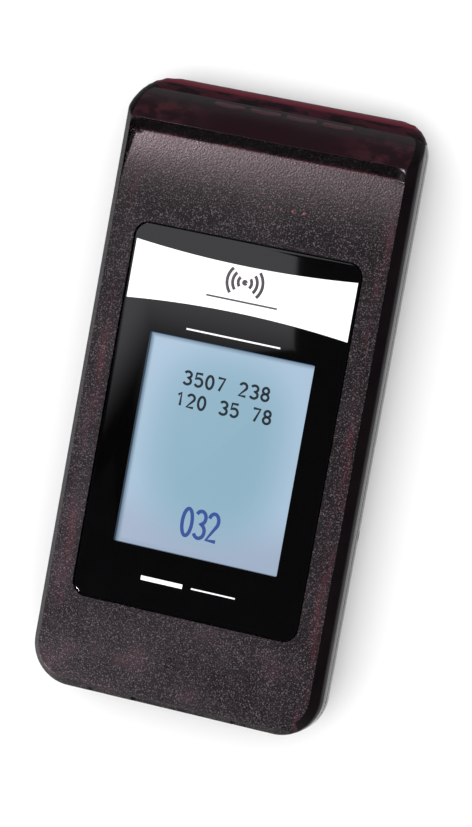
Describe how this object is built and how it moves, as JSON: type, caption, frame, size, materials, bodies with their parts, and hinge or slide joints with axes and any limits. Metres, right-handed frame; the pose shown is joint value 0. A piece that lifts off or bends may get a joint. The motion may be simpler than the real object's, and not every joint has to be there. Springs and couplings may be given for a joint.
{
  "type": "message pager",
  "caption": "Hand-sized message pager with a colour display under a dark lens, a lit alert head with a finger scoop below it, and a vibrating motor inside.",
  "frame": {"origin": "on the back, under the middle of the body, where the pager rests on the table", "axes": "+X across the face to the right, +Y along the body towards the alert head, +Z out of the display"},
  "size_m": [0.0528, 0.1064, 0.0135],
  "materials": {
    "smoke_plastic": "dark wine-tinted see-through smoke, fine spark texture on the face and gloss on the nose and sides",
    "back_plastic": "dark smoke, satin",
    "lens_black": "polished black with a clear window and a white printed band",
    "lcd_lit": "pale blue, lit from behind",
    "white_plastic": "moulded white",
    "light_guide": "clear, milky",
    "board_green": "green solder resist",
    "chip_black": "moulded black",
    "steel": "plain bright",
    "brass": "plain",
    "gold": "gold plate",
    "foil": "dull pouch foil",
    "foam": "open foam",
    "rubber": "matte",
    "flex_amber": "amber film",
    "led_red": "clear red",
    "wire_red": "insulation",
    "wire_black": "insulation",
    "label_grey": "blank film label"
  },
  "bodies": {
    "case": {"front_shell": "smoke_plastic", "rear_shell": "back_plastic", "display_lens": "lens_black", "lcd_glass": "lcd_lit", "backlight_guide": "light_guide", "lcd_frame": "white_plastic", "lcd_flex_cable": "flex_amber", "lcd_connector": "chip_black", "main_board": "board_green", "processor_chip": "chip_black", "memory_chip": "chip_black", "rf_shield_can": "steel", "crystal_can": "steel", "loop_antenna": "brass", "battery_cell": "foil", "battery_foam": "foam", "battery_connector": "white_plastic", "battery_lead_red": "wire_red", "battery_lead_black": "wire_black", "charge_contact_left": "gold", "charge_contact_right": "gold", "motor_can": "steel", "motor_boot": "rubber", "sounder": "chip_black", "led_board": "board_green", "alert_led_1": "led_red", "alert_led_2": "led_red", "alert_led_3": "led_red", "alert_led_4": "led_red", "alert_led_5": "led_red", "light_bar": "light_guide", "button_switch": "chip_black", "case_screw_1": "steel", "case_screw_2": "steel", "case_screw_3": "steel", "case_screw_4": "steel", "back_label": "label_grey"},
    "motor_rotor": {"motor_shaft": "steel", "motor_weight": "brass"},
    "button": {"side_button": "rubber"}
  },
  "joints": [
    {"name": "motor_spin", "type": "hinge", "parent": "case", "child": "motor_rotor", "pos_m": [-0.006, 0.033, 0.0044], "axis": [1, 0, 0], "continuous": true},
    {"name": "side_button_press", "type": "slide", "parent": "case", "child": "button", "axis": [-1, 0, 0], "range_m": [0, 0.0004], "stiffness_N_per_m": 2000}
  ]
}
